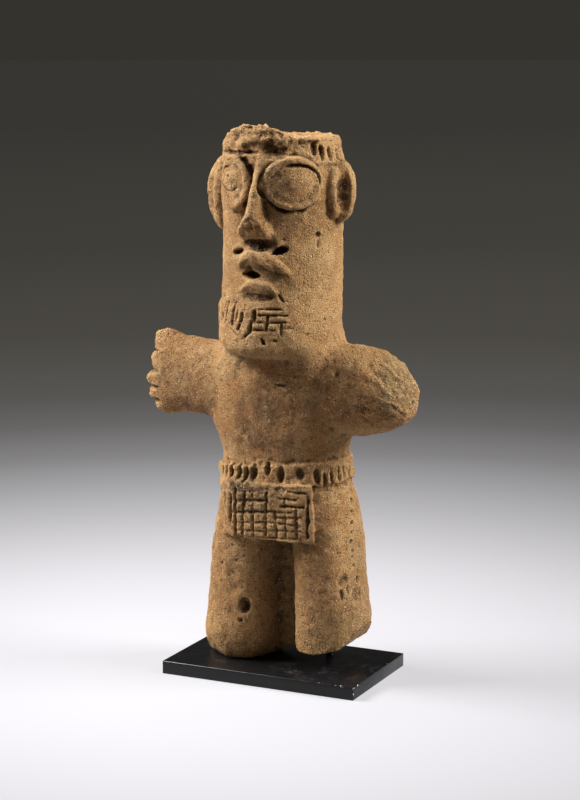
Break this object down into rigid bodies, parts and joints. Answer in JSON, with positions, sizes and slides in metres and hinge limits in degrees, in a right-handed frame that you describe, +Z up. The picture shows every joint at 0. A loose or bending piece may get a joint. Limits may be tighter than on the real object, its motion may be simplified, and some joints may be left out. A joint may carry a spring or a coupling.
{
  "type": "clay figurine on a display mount",
  "caption": "Fired-clay standing figure with disc eyes, notched belt and gridded apron, one arm broken off, held upright on a flat black plate.",
  "frame": {"origin": "centre of the display plate's underside", "axes": "+Z up through the figure's head, -Y towards what the figure faces, +X towards the figure's left, the broken arm"},
  "size_m": [0.1977, 0.094, 0.37],
  "materials": {
    "clay": "coarse sandy fired clay, matte, fire-clouded",
    "black_paint": "satin black paint, scuffed, chipped at a corner"
  },
  "bodies": {
    "root": {"figurine": "clay", "base_plate": "black_paint", "support_post": "black_paint"}
  },
  "joints": []
}
